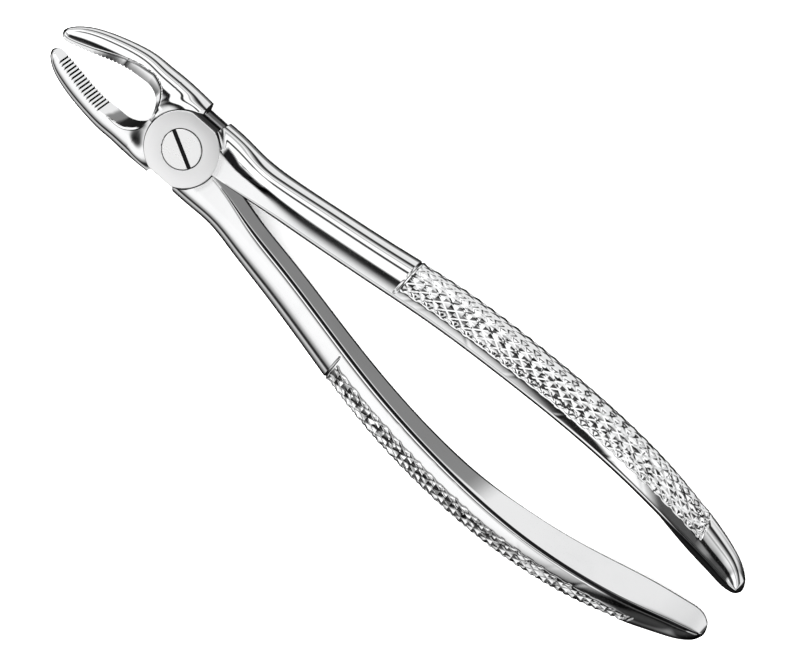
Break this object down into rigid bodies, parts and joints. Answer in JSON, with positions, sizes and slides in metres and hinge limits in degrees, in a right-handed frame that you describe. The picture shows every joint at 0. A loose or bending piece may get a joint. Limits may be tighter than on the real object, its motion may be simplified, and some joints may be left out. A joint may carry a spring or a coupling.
{
  "type": "extraction forceps",
  "caption": "Straight-jointed dental extraction forceps with serrated beaks, bowed knurled handles and a lap joint on a slotted pivot screw.",
  "frame": {"origin": "on the pivot axis, in the flat back face of the joint", "axes": "+X along the instrument from the beaks towards the handles, +Z along the pivot axis towards the screw head, +Y to the side of the handle that turns"},
  "size_m": [0.1758, 0.039, 0.0171],
  "materials": {
    "polished_steel": "mirror-polished stainless steel with a satin joint face and polished knurled handles",
    "screw_steel": "fine-ground stainless steel"
  },
  "bodies": {
    "lower_body": {"lower_half": "polished_steel", "pivot_screw": "screw_steel"},
    "upper_body": {"upper_half": "polished_steel"}
  },
  "joints": [
    {"name": "pivot_hinge", "type": "hinge", "parent": "lower_body", "child": "upper_body", "pos_m": [0, 0, 0.0045], "axis": [0, 0, 1], "range_deg": [0, 28]}
  ]
}
